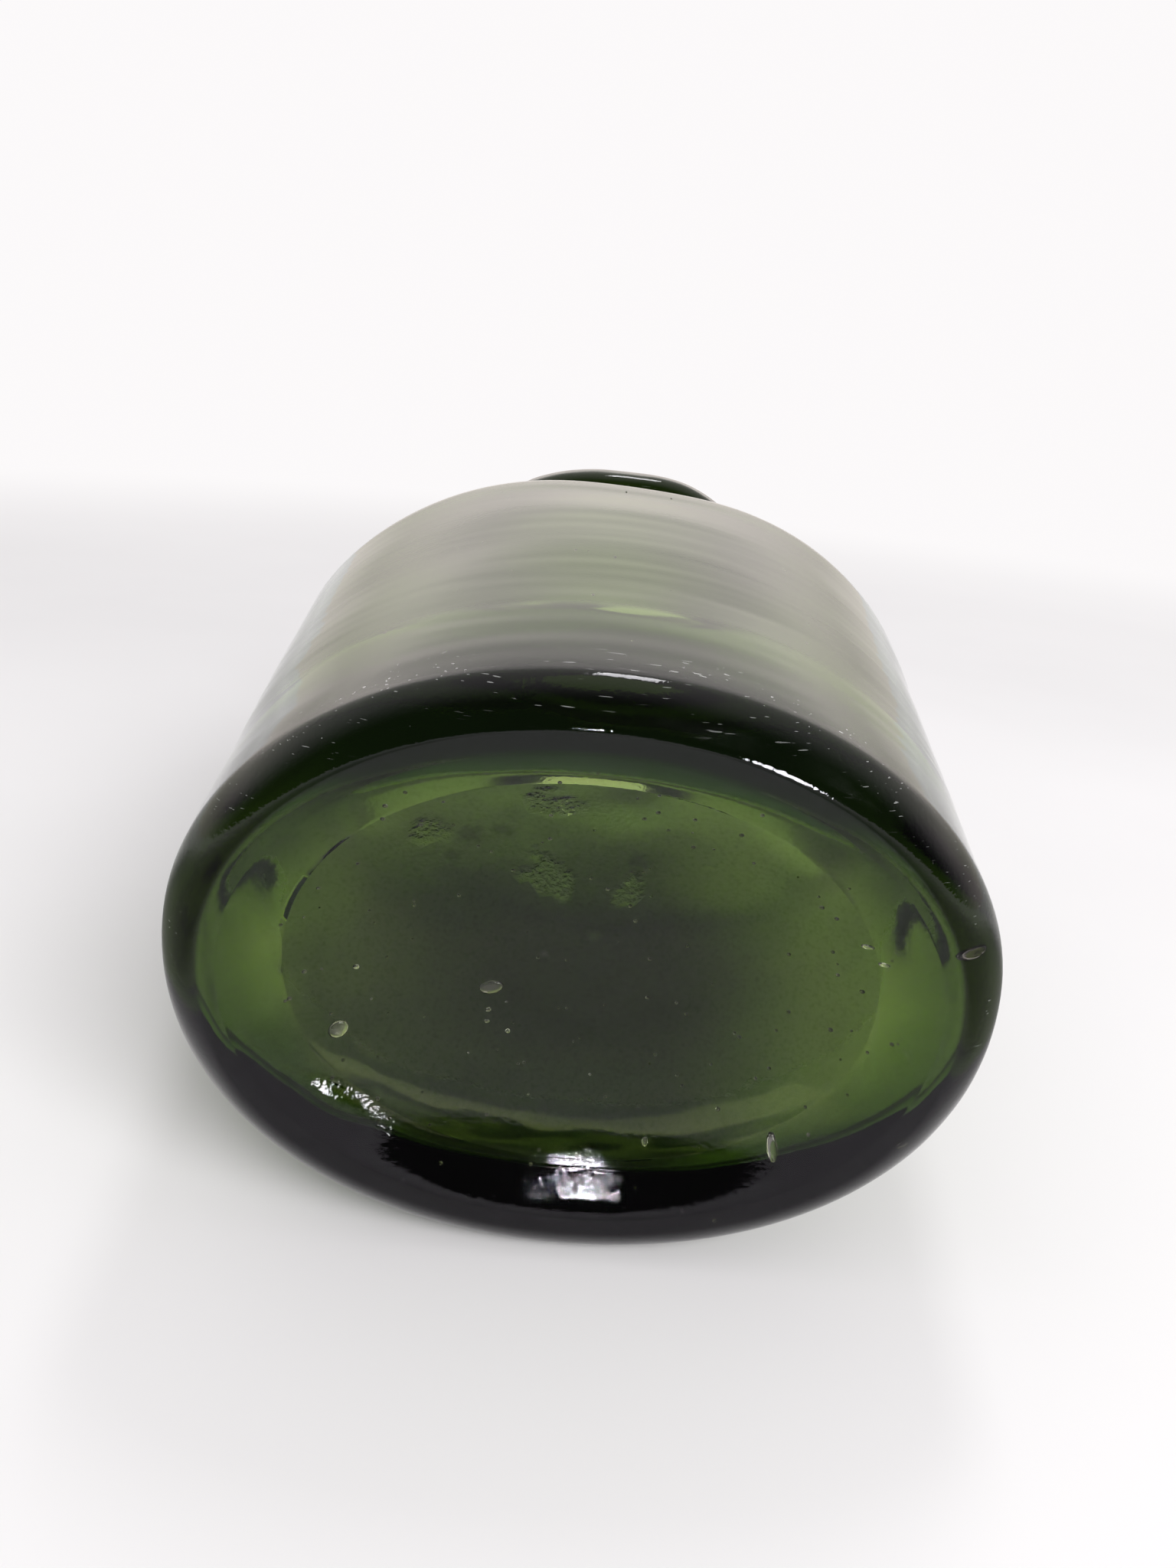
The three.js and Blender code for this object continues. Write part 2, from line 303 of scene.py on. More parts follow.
def random_at(cells, seed):
    """A number from -1 to 1 for each lattice cell."""
    x, y, z = (cells[:, i].astype(np.uint64) * np.uint64(factor) for i, factor in enumerate(HASH_FACTORS))
    mixed = (x ^ y ^ z ^ np.uint64(seed * HASH_SEED_FACTOR + HASH_SEED_START)) & LOW_BITS
    for _ in range(HASH_ROUNDS):
        mixed = ((mixed ^ (mixed >> HALF_OF_THEM)) * HASH_MIX) & LOW_BITS
    mixed = mixed ^ (mixed >> HALF_OF_THEM)
    return mixed.astype(np.float64) / (float(LOW_BITS) / 2) - 1


def noise(points, lengths, seed):
    """Smooth noise from about -1 to 1, whose lumps are about lengths long along X, Y and Z."""
    scaled_points = points / np.array(lengths, float)
    cell = np.floor(scaled_points).astype(np.int64)
    inside = scaled_points - cell
    # The share runs from 0 to 1 with level ends, so the lumps join without a crease
    share = inside ** 3 * (inside * (inside * 6 - 15) + 10)
    total = np.zeros(len(points))
    for corner in np.ndindex(2, 2, 2):
        corner = np.array(corner)
        weight = np.prod(np.where(corner, share, 1 - share), axis=1)
        slope = np.column_stack([random_at(cell + corner + LATTICE_START, seed * SEEDS_PER_NOISE + axis)
                                 for axis in range(3)])
        total += weight * np.sum(slope * (inside - corner), axis=1)
    return total * NOISE_GAIN


def unit_sphere(rings, around):
    """Points and faces of a ball of radius 1 whose faces look outwards."""
    points = [(0, -1, 0)]
    for ring in range(1, rings):
        turn = math.pi * ring / rings - QUARTER_TURN
        for i in range(around):
            angle = 2 * math.pi * i / around
            points.append((math.cos(turn) * math.cos(angle), math.sin(turn), math.cos(turn) * math.sin(angle)))
    points.append((0, 1, 0))
    faces = []
    for i in range(around):
        n = (i + 1) % around
        faces.append((0, 1 + i, 1 + n))
        for ring in range(rings - 2):
            a, b = 1 + ring * around, 1 + (ring + 1) * around
            faces.append((a + i, b + i, b + n, a + n))
        top = 1 + (rings - 2) * around
        faces.append((top + i, len(points) - 1, top + n))
    return np.array(points), faces


def mesh_object(name, points, faces, material, smooth_faces=True):
    mesh = bpy.data.meshes.new(name)
    mesh.from_pydata(points.tolist(), [], faces)
    mesh.update()
    if smooth_faces:
        mesh.shade_smooth()
    mesh.materials.append(material)
    thing = bpy.data.objects.new(name, mesh)
    bpy.context.scene.collection.objects.link(thing)
    return thing


def point_normals(points, faces):
    mesh = bpy.data.meshes.new("measure")
    mesh.from_pydata(points.tolist(), [], faces)
    mesh.update()
    normals = np.zeros(len(points) * 3)
    mesh.vertex_normals.foreach_get("vector", normals)
    bpy.data.meshes.remove(mesh)
    return normals.reshape(-1, 3)


def set_values(thing, **values):
    """Puts named values on the points of a mesh, for its material to read."""
    for name, numbers in values.items():
        attribute = thing.data.attributes.new(name, "FLOAT", "POINT")
        attribute.data.foreach_set("value", np.asarray(numbers, np.float32))


PLACE = Matrix.Translation(BASE_MIDDLE) @ Matrix.Rotation(AXIS_RISE, 4, "X")


def placed(points):
    """Points in the bottle's own frame, in millimetres, taken to the frame of the solids, in metres."""
    turn = np.array(PLACE.to_3x3())
    return points * MM @ turn.T + np.array(PLACE.translation)


CONTACT_SOFTNESS = 0.08


def lifted(points):
    """The same points, with any that would dip into the floor eased up to it."""
    up = PLACE.to_3x3().transposed() @ Vector((0, 0, 1))
    height = placed(points)[:, 2] / MM
    eased = (height + np.sqrt(height ** 2 + CONTACT_SOFTNESS ** 2)) / 2
    return points + np.array(up) * (eased - height)[:, None]


class Graph:
    """The node tree of a material or world, with short ways to add nodes and link them."""

    def __init__(self, node_tree):
        self.nodes, self.links = node_tree.nodes, node_tree.links

    def feed(self, socket, value):
        """Links another node's output to the socket, or sets a plain value on it."""
        if isinstance(value, bpy.types.NodeSocket):
            self.links.new(value, socket)
        else:
            socket.default_value = value

    def add(self, kind, **inputs):
        """A new node of this kind. Each input goes by the name of its socket, with _ for a space."""
        node = self.nodes.new(kind)
        for name, value in inputs.items():
            self.feed(node.inputs[name.replace("_", " ")], value)
        return node

    def coordinates(self, kind):
        return self.nodes.new("ShaderNodeTexCoord").outputs[kind]

    def point_value(self, name):
        node = self.nodes.new("ShaderNodeAttribute")
        node.attribute_name = name
        return node.outputs["Fac"]

    def noise(self, place, **inputs):
        return self.add("ShaderNodeTexNoise", Vector=place, **inputs).outputs["Fac"]

    def maths(self, operation, *values):
        node = self.nodes.new("ShaderNodeMath")
        node.operation = operation
        for socket, value in zip(node.inputs, values):
            self.feed(socket, value)
        return node.outputs["Value"]

    def ranged(self, source, low, high, to_low, to_high, kind="SMOOTHSTEP"):
        node = self.nodes.new("ShaderNodeMapRange")
        node.interpolation_type = kind
        limits = {"Value": source, "From Min": low, "From Max": high, "To Min": to_low, "To Max": to_high}
        for name, value in limits.items():
            self.feed(node.inputs[name], value)
        return node.outputs["Result"]

    def ramp(self, source, stops):
        node = self.nodes.new("ShaderNodeValToRGB")
        elements = node.color_ramp.elements
        elements.remove(elements[1])
        for n, (position, colour) in enumerate(stops):
            stop = elements[0] if n == 0 else elements.new(position)
            stop.position = position
            stop.color = (*colour, 1)
        self.feed(node.inputs["Fac"], source)
        return node.outputs["Color"]

    def colour_mix(self, share, first, second):
        node = self.nodes.new("ShaderNodeMix")
        node.data_type = "RGBA"
        for name, value in (("Factor", share), ("A", first), ("B", second)):
            self.feed(node.inputs[name], value)
        return node.outputs["Result"]

    def shader_mix(self, share, first, second):
        node = self.nodes.new("ShaderNodeMixShader")
        for socket, value in zip(node.inputs, (share, first, second)):
            self.feed(socket, value)
        return node.outputs["Shader"]


def new_material(name):
    material = bpy.data.materials.new(name)
    material.use_nodes = True
    graph = Graph(material.node_tree)
    return material, graph, graph.nodes["Principled BSDF"]


# Glass. Its green comes from the volume, so it follows from how thick the glass is; the darker colours below
# are painted shade and stains.
GLASS_IOR = 1.51
SPECULAR_TINT = (0.55, 0.53, 0.58, 1)
ABSORPTION_COLOUR, ABSORPTION_DENSITY = (0.44, 0.58, 0.06, 1), 440
# Painted shade: the heel, the upper standing ring, the middle of the cavity's floor and the seeds are darkened
# towards the first colour, which also serves the dark stains and the speckle of the grain; the collar is
# darkened nearly to black towards the second.
BOTTLE_SHADE_AND_STAIN, COLLAR_PAINTED_SHADE = (0.06, 0.05, 0.065, 1), (0.07, 0.075, 0.07, 1)
BOTTLE_STREAKS, COLLAR_STREAKS = ((0.95, 0.91, 0.96), (1, 1, 1)), ((0.9, 0.95, 0.86), (0.98, 1, 0.96))

# Marks of the glass. An edge is the pair of noise values between which a mark fades in.
STREAK_NOISE, STREAK_EDGE = {"Scale": 38.0, "Detail": 4.0, "Distortion": 0.8}, (0.35, 0.65)
GRAIN_NOISE, GRAIN_HEIGHT = {"Scale": 1500.0, "Detail": 2.0}, 0.000025
SPECKLE_EDGE, SPECKLE = (0.5, 0.68), 0.22
HAZE_NOISE = {"Scale": 60.0, "Detail": 6.0}
HAZE_EDGE, HAZE_ROUGHNESS = (0.45, 0.75), (0.01, 0.05)
CRUST_NOISE = {"Scale": 800.0, "Detail": 3.0, "Roughness": 0.7}
CRUST_EDGE, CRUST_ROUGHNESS = (0.42, 0.52), 0.15
WEAR_COLOUR = (0.5, 0.52, 0.5, 1)
PIT_SCALE, PIT_RADIUS_EDGE, PITS_LEFT_OUT = 520.0, (0.02, 0.05), 0.7
SCRATCH_NOISE, SCRATCH_STRETCH = {"Scale": 1.0, "Detail": 1.0}, (200, 1200, 3600)
SCRATCH_EDGE, SCRATCH_STRENGTH = 0.03, 0.6
SCRATCH_TURNS_AND_THRESHOLDS = ((0.5, 0.725), (-0.9, 0.735))


def worn_marks(graph, place):
    """Small pits and two sets of fine scratches, from 0 for none to 1."""
    dots = graph.add("ShaderNodeTexVoronoi", Vector=place, Scale=PIT_SCALE)
    kept = graph.add("ShaderNodeSeparateColor", Color=dots.outputs["Color"]).outputs["Red"]
    marks = graph.maths("MULTIPLY", graph.ranged(dots.outputs["Distance"], *PIT_RADIUS_EDGE, 1, 0),
                        graph.maths("GREATER_THAN", kept, PITS_LEFT_OUT))
    for turn, threshold in SCRATCH_TURNS_AND_THRESHOLDS:
        drawn = graph.add("ShaderNodeMapping", Vector=place, Rotation=(0, turn, 0), Scale=SCRATCH_STRETCH)
        lines = graph.noise(drawn.outputs["Vector"], **SCRATCH_NOISE)
        lines = graph.ranged(lines, threshold, threshold + SCRATCH_EDGE, 0, SCRATCH_STRENGTH)
        marks = graph.maths("MAXIMUM", marks, lines)
    return graph.maths("MULTIPLY", marks, graph.point_value("wear"))


def glass_material(name, streaks, dark):
    """Clear glass that takes its painted shade and stain, haze, crust, grain and wear from values on the
    points.
    """
    material, graph, shader = new_material(name)
    shader.inputs["IOR"].default_value = GLASS_IOR
    shader.inputs["Specular Tint"].default_value = SPECULAR_TINT
    place = graph.coordinates("Object")

    tint = graph.ramp(graph.noise(place, **STREAK_NOISE), zip(STREAK_EDGE, streaks))
    peel = graph.noise(place, **GRAIN_NOISE)
    speckle = graph.maths("MULTIPLY", graph.ranged(peel, *SPECKLE_EDGE, 0, SPECKLE),
                          graph.maths("MINIMUM", graph.point_value("grain"), 1))
    # Where the value is low the colour goes dark: painted shade on heel, ring, floor middle, seeds and collar,
    # and the floor's real stains.
    clear = graph.maths("MULTIPLY", graph.point_value("clear_of_stain_and_shade"), graph.maths("SUBTRACT", 1, speckle))
    marks = worn_marks(graph, place)
    colour = graph.colour_mix(marks, graph.colour_mix(clear, dark, tint), WEAR_COLOUR)
    graph.feed(shader.inputs["Base Color"], colour)
    graph.feed(shader.inputs["Transmission Weight"], graph.maths("SUBTRACT", 1, marks))

    haze = graph.ranged(graph.noise(place, **HAZE_NOISE), *HAZE_EDGE, *HAZE_ROUGHNESS)
    haze = graph.maths("ADD", haze, graph.point_value("haze"))
    crust = graph.ranged(graph.noise(place, **CRUST_NOISE), *CRUST_EDGE, 0, CRUST_ROUGHNESS)
    crust = graph.maths("MULTIPLY", crust, graph.point_value("crust"))
    graph.feed(shader.inputs["Roughness"], graph.maths("ADD", haze, crust))

    height = graph.maths("MULTIPLY", peel, graph.point_value("grain"))
    bump = graph.add("ShaderNodeBump", Height=height, Strength=1.0, Distance=GRAIN_HEIGHT)
    graph.feed(shader.inputs["Normal"], bump.outputs["Normal"])
    absorption = graph.add("ShaderNodeVolumeAbsorption", Color=ABSORPTION_COLOUR, Density=ABSORPTION_DENSITY)
    graph.feed(graph.nodes["Material Output"].inputs["Volume"], absorption.outputs["Volume"])
    return material


# Body: one skin over the outside and the cavity
BASE, WALL = outside_of_base(), outside_of_wall()
CAVITY = inside_of_wall(WALL)
RIM, FLOOR = rounded_rim(WALL[-1], CAVITY[0]), inside_of_base()
HEEL_FIRST_ROW = len(BASE) - HEEL_ROWS

# Lumps of each noise, as their lengths in millimetres along X, Y and Z, with its seed
WHITTLE_LUMPS, FINE_WHITTLE_LUMPS = ((40, 5.5, 40), 3), ((22, 3.2, 22), 4)
OUTER_LUMPS, BASE_LUMPS, CAVITY_LUMPS = ((34, 26, 34), 5), ((9, 9, 9), 6), ((22, 24, 22), 7)
FLOOR_LUMPS, FINE_FLOOR_LUMPS = ((13, 13, 11), 8), ((4, 4, 4), 9)
FLOOR_EDGE_LUMPS = ((9, 8, 8), 10)
COLLAR_LUMPS, FINE_COLLAR_LUMPS = ((16, 9, 16), 21), ((6, 4, 6), 22)
RESIDUE_LUMPS, CRACKLE_LUMPS, WEAR_LUMPS = ((1.6, 1.6, 1.6), 31), ((3, 3, 3), 33), ((9, 9, 9), 35)

# How far those lumps move the glass, in millimetres
WHITTLE_RISE, FINE_WHITTLE_SHARE = 0.048, 0.5
OUTER_RISE, BASE_RISE, CAVITY_RISE = 0.28, 0.05, 0.3
FLOOR_RISE, FINE_FLOOR_RISE, FLOOR_EDGE_RISE = 0.22, 0.04, 0.26
COLLAR_RISE, FINE_COLLAR_RISE = 0.25, 0.08

# Where the glass changes, as the start and length of the change: heights in millimetres, or shares of the ring
WALL_BEGINS, WALL_ENDS = (4, 8), (175, 12)
WHITTLE_WEAKENS, WHITTLE_LEFT = (30, 60), 0.35
BASE_LUMPS_END, BASE_LUMPS_FADING = 30, 10
CLEAR_OF_CONTACT = 5
FLOOR_EDGE_BEGINS = (0.72, 0.2)
# Painted shade: the heel darkens below the first heights, and the upper standing ring beyond the second shares.
HEEL_SHADE_LIFTS, STANDING_RING_BEGINS = (5.2, 3.2), (0.985, 0.03)
UPPER_PART_BEGINS, LEAST_DISTANCE = (0.45, 0.3), 0.01
CAVITY_HAZE_BEGINS = (20, 20)
GRAINED_BASE_ENDS = (4, 12)
WEAR_BEGINS, WEAR_ENDS = (0, 1.5), (9, 8)

# The shoulder's top is flatter than in the solids, round a middle across, in millimetres
SHOULDER_FLAT, INNER_FLAT_SHARE = 1.5, 0.8
FLAT_MIDDLE, FLAT_WIDTH, FLAT_UP_BEGINS = 6, 22, (15, 20)
FLAT_BEGINS, FLAT_ENDS = (88, 24), (138, 22)
COLLAR_SWELL, COLLAR_SWELL_BEGINS = 0.7, (NECK_LEAN_UP + 18, 14)

# Places on the base as across, up, length, width and turn, in millimetres and degrees
STREAK_PLACE, STREAK_DENT = (-33.5, -20.5, 6, 2.2, 32), 0.42
RESIDUE_PLACES = [(-17, 20.6, 2, 1.6, 0), (-19.2, 16.7, 1.3, 1.2, 0), (-12, 21.9, 1.4, 1, 0),
                  (6.7, 18, 1.5, 1.3, 0)]
CRACKLE_PLACES = [(-5.5, 26.7, 4.5, 3, 10), (-5.8, 14, 5, 3.5, 40), (-22.3, 21.5, 3, 2.5, 0),
                  (5.8, 12.7, 2, 3, 0)]
# The painted shade over the middle of the cavity's floor: its middle, its size, and how far out it reaches.
FLOOR_SHADE_MIDDLE, FLOOR_SHADE_SIZE, FLOOR_SHADE_REACH = (2, -4), (32, 20), 1.3

# How ragged noise makes those spots, and from which strength on they show
RESIDUE_RAGGED, RESIDUE_BEGINS = 0.35, (0.45, 0.25)
CRACKLE_RAGGED, CRACKLE_BEGINS = 0.5, (0.35, 0.3)
RESIDUE_MEAN, RESIDUE_SPREAD, WEAR_MEAN, WEAR_SPREAD = 0.5, 0.9, 0.75, 0.9

# Strengths of the marks on the floor and the walls, from 0 to 1 or as a factor of the grain
# On the floor, the first strength is painted shade over its middle, the second the dark stain of the residue.
FLOOR_PAINTED_SHADE, RESIDUE_STAIN = 0.88, 0.55
CAVITY_HAZE, FLOOR_HAZE = 0.28, 0.06
WALL_GRAIN, BASE_GRAIN, CAVITY_GRAIN, FLOOR_GRAIN, CRACKLE_GRAIN = 0.12, 0.55, 0.1, 0.8, 12
# Below this height the cavity's floor carries its painted shade and its stains.
FLOOR_SHADE_AND_STAIN_BELOW = 20


def spot(across, up, middle_across, middle_up, length, width, turn):
    """A smooth spot that is 1 in its middle and fades out over its length and width."""
    c, s = math.cos(math.radians(turn)), math.sin(math.radians(turn))
    along = (across - middle_across) * c - (up - middle_up) * s
    beside = (across - middle_across) * s + (up - middle_up) * c
    return np.exp(-(along / length) ** 2 - (beside / width) ** 2)


def share_of_ring(across, up):
    """How far out a place lies: 1 is the inner edge of the standing ring."""
    return np.hypot(across / RING_INNER.half_width, up / RING_INNER.half_depth)


def ripples(points, outer, base_side, floor_side):
    """How far each point of the body moves along its normal, in millimetres."""
    across, height, up = points.T
    on_wall = rising(height, *WALL_BEGINS) * (1 - rising(height, *WALL_ENDS))
    shift = np.zeros(len(points))
    # Whittle marks of the mould lie across the bottle and are strongest near the base
    marks = noise(points, *WHITTLE_LUMPS) + FINE_WHITTLE_SHARE * noise(points, *FINE_WHITTLE_LUMPS)
    fading = WHITTLE_LEFT + (1 - WHITTLE_LEFT) * (1 - rising(height, *WHITTLE_WEAKENS))
    shift += np.where(outer, WHITTLE_RISE * marks * on_wall * fading, 0)
    shift += np.where(outer, OUTER_RISE * noise(points, *OUTER_LUMPS) * on_wall, 0)
    under = smooth((BASE_LUMPS_END - height) / BASE_LUMPS_FADING)
    shift += np.where(outer & base_side, BASE_RISE * noise(points, *BASE_LUMPS) * under, 0)
    shift += np.where(~outer, CAVITY_RISE * noise(points, *CAVITY_LUMPS) * on_wall, 0)
    floor_waves = FLOOR_RISE * noise(points, *FLOOR_LUMPS) + FINE_FLOOR_RISE * noise(points, *FINE_FLOOR_LUMPS)
    shift += np.where(floor_side, floor_waves, 0)
    near_edge = rising(share_of_ring(across, up), *FLOOR_EDGE_BEGINS)
    shift += np.where(floor_side, FLOOR_EDGE_RISE * near_edge * noise(points, *FLOOR_EDGE_LUMPS), 0)
    # The lowest line touches the floor, so the ripples fade out there
    above_floor = placed(points)[:, 2] / MM
    shift = np.where(outer, shift * smooth(above_floor / CLEAR_OF_CONTACT), shift)
    shift += np.where(base_side, STREAK_DENT * spot(across, up, *STREAK_PLACE), 0)
    flatter = np.exp(-((across - FLAT_MIDDLE) / FLAT_WIDTH) ** 2) * rising(up, *FLAT_UP_BEGINS)
    flatter = flatter * rising(height, *FLAT_BEGINS) * (1 - rising(height, *FLAT_ENDS))
    shift += np.where(outer, -SHOULDER_FLAT, INNER_FLAT_SHARE * SHOULDER_FLAT) * flatter
    return shift


def stained_and_shaded_floor(across, up, points):
    """How clear the glass is on the cavity's floor, and how crackled: both from 0 to 1. Its middle is darkened
    as painted shade, the crackle lifts that shade, and the residue spots are dark stains.
    """
    # Painted shade over the middle of the floor
    floor_shade = smooth(FLOOR_SHADE_REACH - np.hypot((across - FLOOR_SHADE_MIDDLE[0]) / FLOOR_SHADE_SIZE[0],
                                        (up - FLOOR_SHADE_MIDDLE[1]) / FLOOR_SHADE_SIZE[1]))
    crackle = sum(spot(across, up, *place) for place in CRACKLE_PLACES)
    crackle = rising(crackle + CRACKLE_RAGGED * noise(points, *CRACKLE_LUMPS), *CRACKLE_BEGINS)
    residue = sum(spot(across, up, *place) for place in RESIDUE_PLACES)
    ragged = RESIDUE_MEAN + RESIDUE_SPREAD * noise(points, *RESIDUE_LUMPS)
    residue = rising(residue + RESIDUE_RAGGED * ragged, *RESIDUE_BEGINS)
    return 1 - FLOOR_PAINTED_SHADE * floor_shade * (1 - crackle) - RESIDUE_STAIN * residue, crackle


def blown_body():
    """Points, faces and point values of the body's skin."""
    rows = [*BASE, *WALL, *RIM, *CAVITY, *FLOOR]
    plain, faces = skin(rows, (0, push_up_at(0), 0), (0, floor_at(0), 0))
    row = np.concatenate([np.repeat(np.arange(len(rows)), AROUND), [0, len(rows) - 1]])
    outer = row < len(BASE) + len(WALL)
    base_side = row < len(BASE)
    floor_side = row >= len(rows) - len(FLOOR)
    shift = ripples(plain, outer, base_side, floor_side)
    points = lifted(plain + point_normals(plain, faces) * shift[:, None])

    across, height, up = plain.T
    heel = outer & (row >= HEEL_FIRST_ROW)
    # Painted shade: the outside of the heel darkens towards its foot, and the upper part of the standing ring
    # darkens too.
    heel_unshaded = np.where(heel, rising(height, *HEEL_SHADE_LIFTS), 1)
    upper = rising(np.abs(up) / np.maximum(np.hypot(across, up), LEAST_DISTANCE), *UPPER_PART_BEGINS)
    ring_unshaded = 1 - rising(share_of_ring(across, up), *STANDING_RING_BEGINS) * upper
    clear_of_stain_and_shade = np.where(base_side & ~heel, ring_unshaded, heel_unshaded)
    floor_clear_of_stain_and_shade, crackle = stained_and_shaded_floor(across, up, points)
    clear_of_stain_and_shade = np.where(floor_side & (height < FLOOR_SHADE_AND_STAIN_BELOW), floor_clear_of_stain_and_shade, clear_of_stain_and_shade)
    inner_wall = ~outer & ~floor_side
    haze = np.where(inner_wall, CAVITY_HAZE * rising(height, *CAVITY_HAZE_BEGINS),
                    np.where(floor_side, FLOOR_HAZE, 0))
    outer_grain = WALL_GRAIN + BASE_GRAIN * (1 - rising(height, *GRAINED_BASE_ENDS))
    near_edge = rising(share_of_ring(across, up), *FLOOR_EDGE_BEGINS)
    floor_grain = FLOOR_GRAIN * (1 - near_edge) + CRACKLE_GRAIN * crackle
    grain = np.where(outer, outer_grain, np.where(floor_side, floor_grain, CAVITY_GRAIN))
    wear = np.where(heel, rising(height, *WEAR_BEGINS) * (1 - rising(height, *WEAR_ENDS)), 0)
    wear = wear * np.clip(WEAR_MEAN + WEAR_SPREAD * noise(points, *WEAR_LUMPS), 0, 1)
    return points, faces, {"clear_of_stain_and_shade": clear_of_stain_and_shade, "haze": haze, "grain": grain, "wear": wear,
                           "crust": np.where(floor_side, crackle, 0)}


# Flat bubbles just under the base, as across, up, half length, half width and turn in degrees
BUBBLES = [(-12.4, -3.9, 1.8, 1.1, 15), (49.9, 13.4, 2.2, 0.95, 10), (-33.2, -10.4, 1.5, 1.3, 50),
           (29.7, -22.5, 0.8, 2.2, 10), (37.4, 11.5, 0.9, 0.4, 0), (39.9, 9.3, 0.8, 0.35, 0),
           (-31.1, -0.8, 0.5, 0.4, 0), (-12.6, -7.6, 0.5, 0.35, 20), (-12.7, -9.5, 0.4, 0.3, 0),
           (-9.6, -10.9, 0.35, 0.4, 0), (11.7, -25.4, 0.5, 0.7, 0), (22.8, -34.4, 0.4, 0.6, 0),
           (46.8, -17.7, 1.1, 0.7, 40)]
BUBBLE_DEPTH, BUBBLE_HALF_THICKNESS = 0.75, 0.3

# Seeds, as counts and as ranges in millimetres
BASE_SEEDS, BASE_SEED_RADII, BASE_SEED_REACH = 130, (0.16, 0.36), 0.93
BASE_SEED_DEPTHS = (0.8, PUSH_UP_GLASS - 0.9)
WALL_SEEDS, WALL_SEED_RADII, WALL_SEED_DEPTHS = 90, (0.1, 0.3), (1.1, 1.9)
WALL_SEED_HEIGHTS, WALL_SEED_STRETCH = (14, SHOULDER_START + 10), (1, 3)
GAS_RINGS_AND_POINTS, GAS_SEED = (6, 10), 41
# Seeds are darkened to this share as painted shade; the bubbles stay clear.
SEED_PAINTED_SHADE_CLEARNESS = 0.3

# The farthest share of the heel's rounding that a bubble follows
FARTHEST_ROUND_HEEL = 0.95


def base_height(across, up):
    """How high the outside of the base lies over a place: push-up, standing ring or heel."""
    power = BODY_SQUARENESS
    share = (np.abs(across / RING_INNER.half_width) ** power
             + np.abs(up / RING_INNER.half_depth) ** power) ** (1 / power)
    beyond_ring = np.hypot(across, up) * (1 - 1 / np.maximum(share, 1)) - STANDING_RING_WIDTH
    out = np.clip(beyond_ring / HEEL_RADIUS, 0, FARTHEST_ROUND_HEEL)
    heel = HEEL_TOP * (1 - (1 - out ** (2 / HEEL_BEVEL)) ** (HEEL_BEVEL / 2))
    return push_up_at(np.minimum(share, 1)) + heel


def gas_in_the_glass():
    """Closed shells of bubbles and seeds in the base, and of drawn-out seeds in the wall.

    Their faces look outwards into the glass.
    """
    draw = np.random.default_rng(GAS_SEED)
    ball, ball_faces = unit_sphere(*GAS_RINGS_AND_POINTS)
    points, faces = [], []

    def put(shell):
        start = len(ball) * len(points)
        points.append(shell)
        faces.extend(tuple(start + i for i in face) for face in ball_faces)

    def under_base(across, up, half_sizes, turn, depth):
        shell = ball * half_sizes
        c, s = math.cos(math.radians(turn)), math.sin(math.radians(turn))
        x = across + shell[:, 0] * c - shell[:, 2] * s
        z = up + shell[:, 0] * s + shell[:, 2] * c
        put(np.column_stack([x, base_height(x, z) + depth + shell[:, 1], z]))

    for across, up, half_length, half_width, turn in BUBBLES:
        under_base(across, up, (half_length, BUBBLE_HALF_THICKNESS, half_width), turn, BUBBLE_DEPTH)
    for _ in range(BASE_SEEDS):
        angle, reach = draw.uniform(0, 2 * math.pi), BASE_SEED_REACH * math.sqrt(draw.uniform())
        radius = draw.uniform(*BASE_SEED_RADII)
        under_base(RING_INNER.half_width * reach * math.cos(angle),
                   RING_INNER.half_depth * reach * math.sin(angle),
                   (radius, radius, radius), 0, draw.uniform(*BASE_SEED_DEPTHS))
    for _ in range(WALL_SEEDS):
        angle, height = draw.uniform(0, 2 * math.pi), draw.uniform(*WALL_SEED_HEIGHTS)
        depth, radius = draw.uniform(*WALL_SEED_DEPTHS), draw.uniform(*WALL_SEED_RADII)
        height = min(height, SHOULDER_START)
        section = drawn_in(blended(height, 1), depth)
        x = superellipse(section.half_width, math.cos(angle), section.squareness)
        z = superellipse(section.half_depth, math.sin(angle), section.squareness)
        put(ball * (radius, radius * draw.uniform(*WALL_SEED_STRETCH), radius) + (x, height, z))
    # The seeds get painted shade, the bubbles none.
    clear_of_stain_and_shade = np.repeat([1] * len(BUBBLES) + [SEED_PAINTED_SHADE_CLEARNESS] * (BASE_SEEDS + WALL_SEEDS), len(ball))
    return np.concatenate(points), faces, {"clear_of_stain_and_shade": clear_of_stain_and_shade}


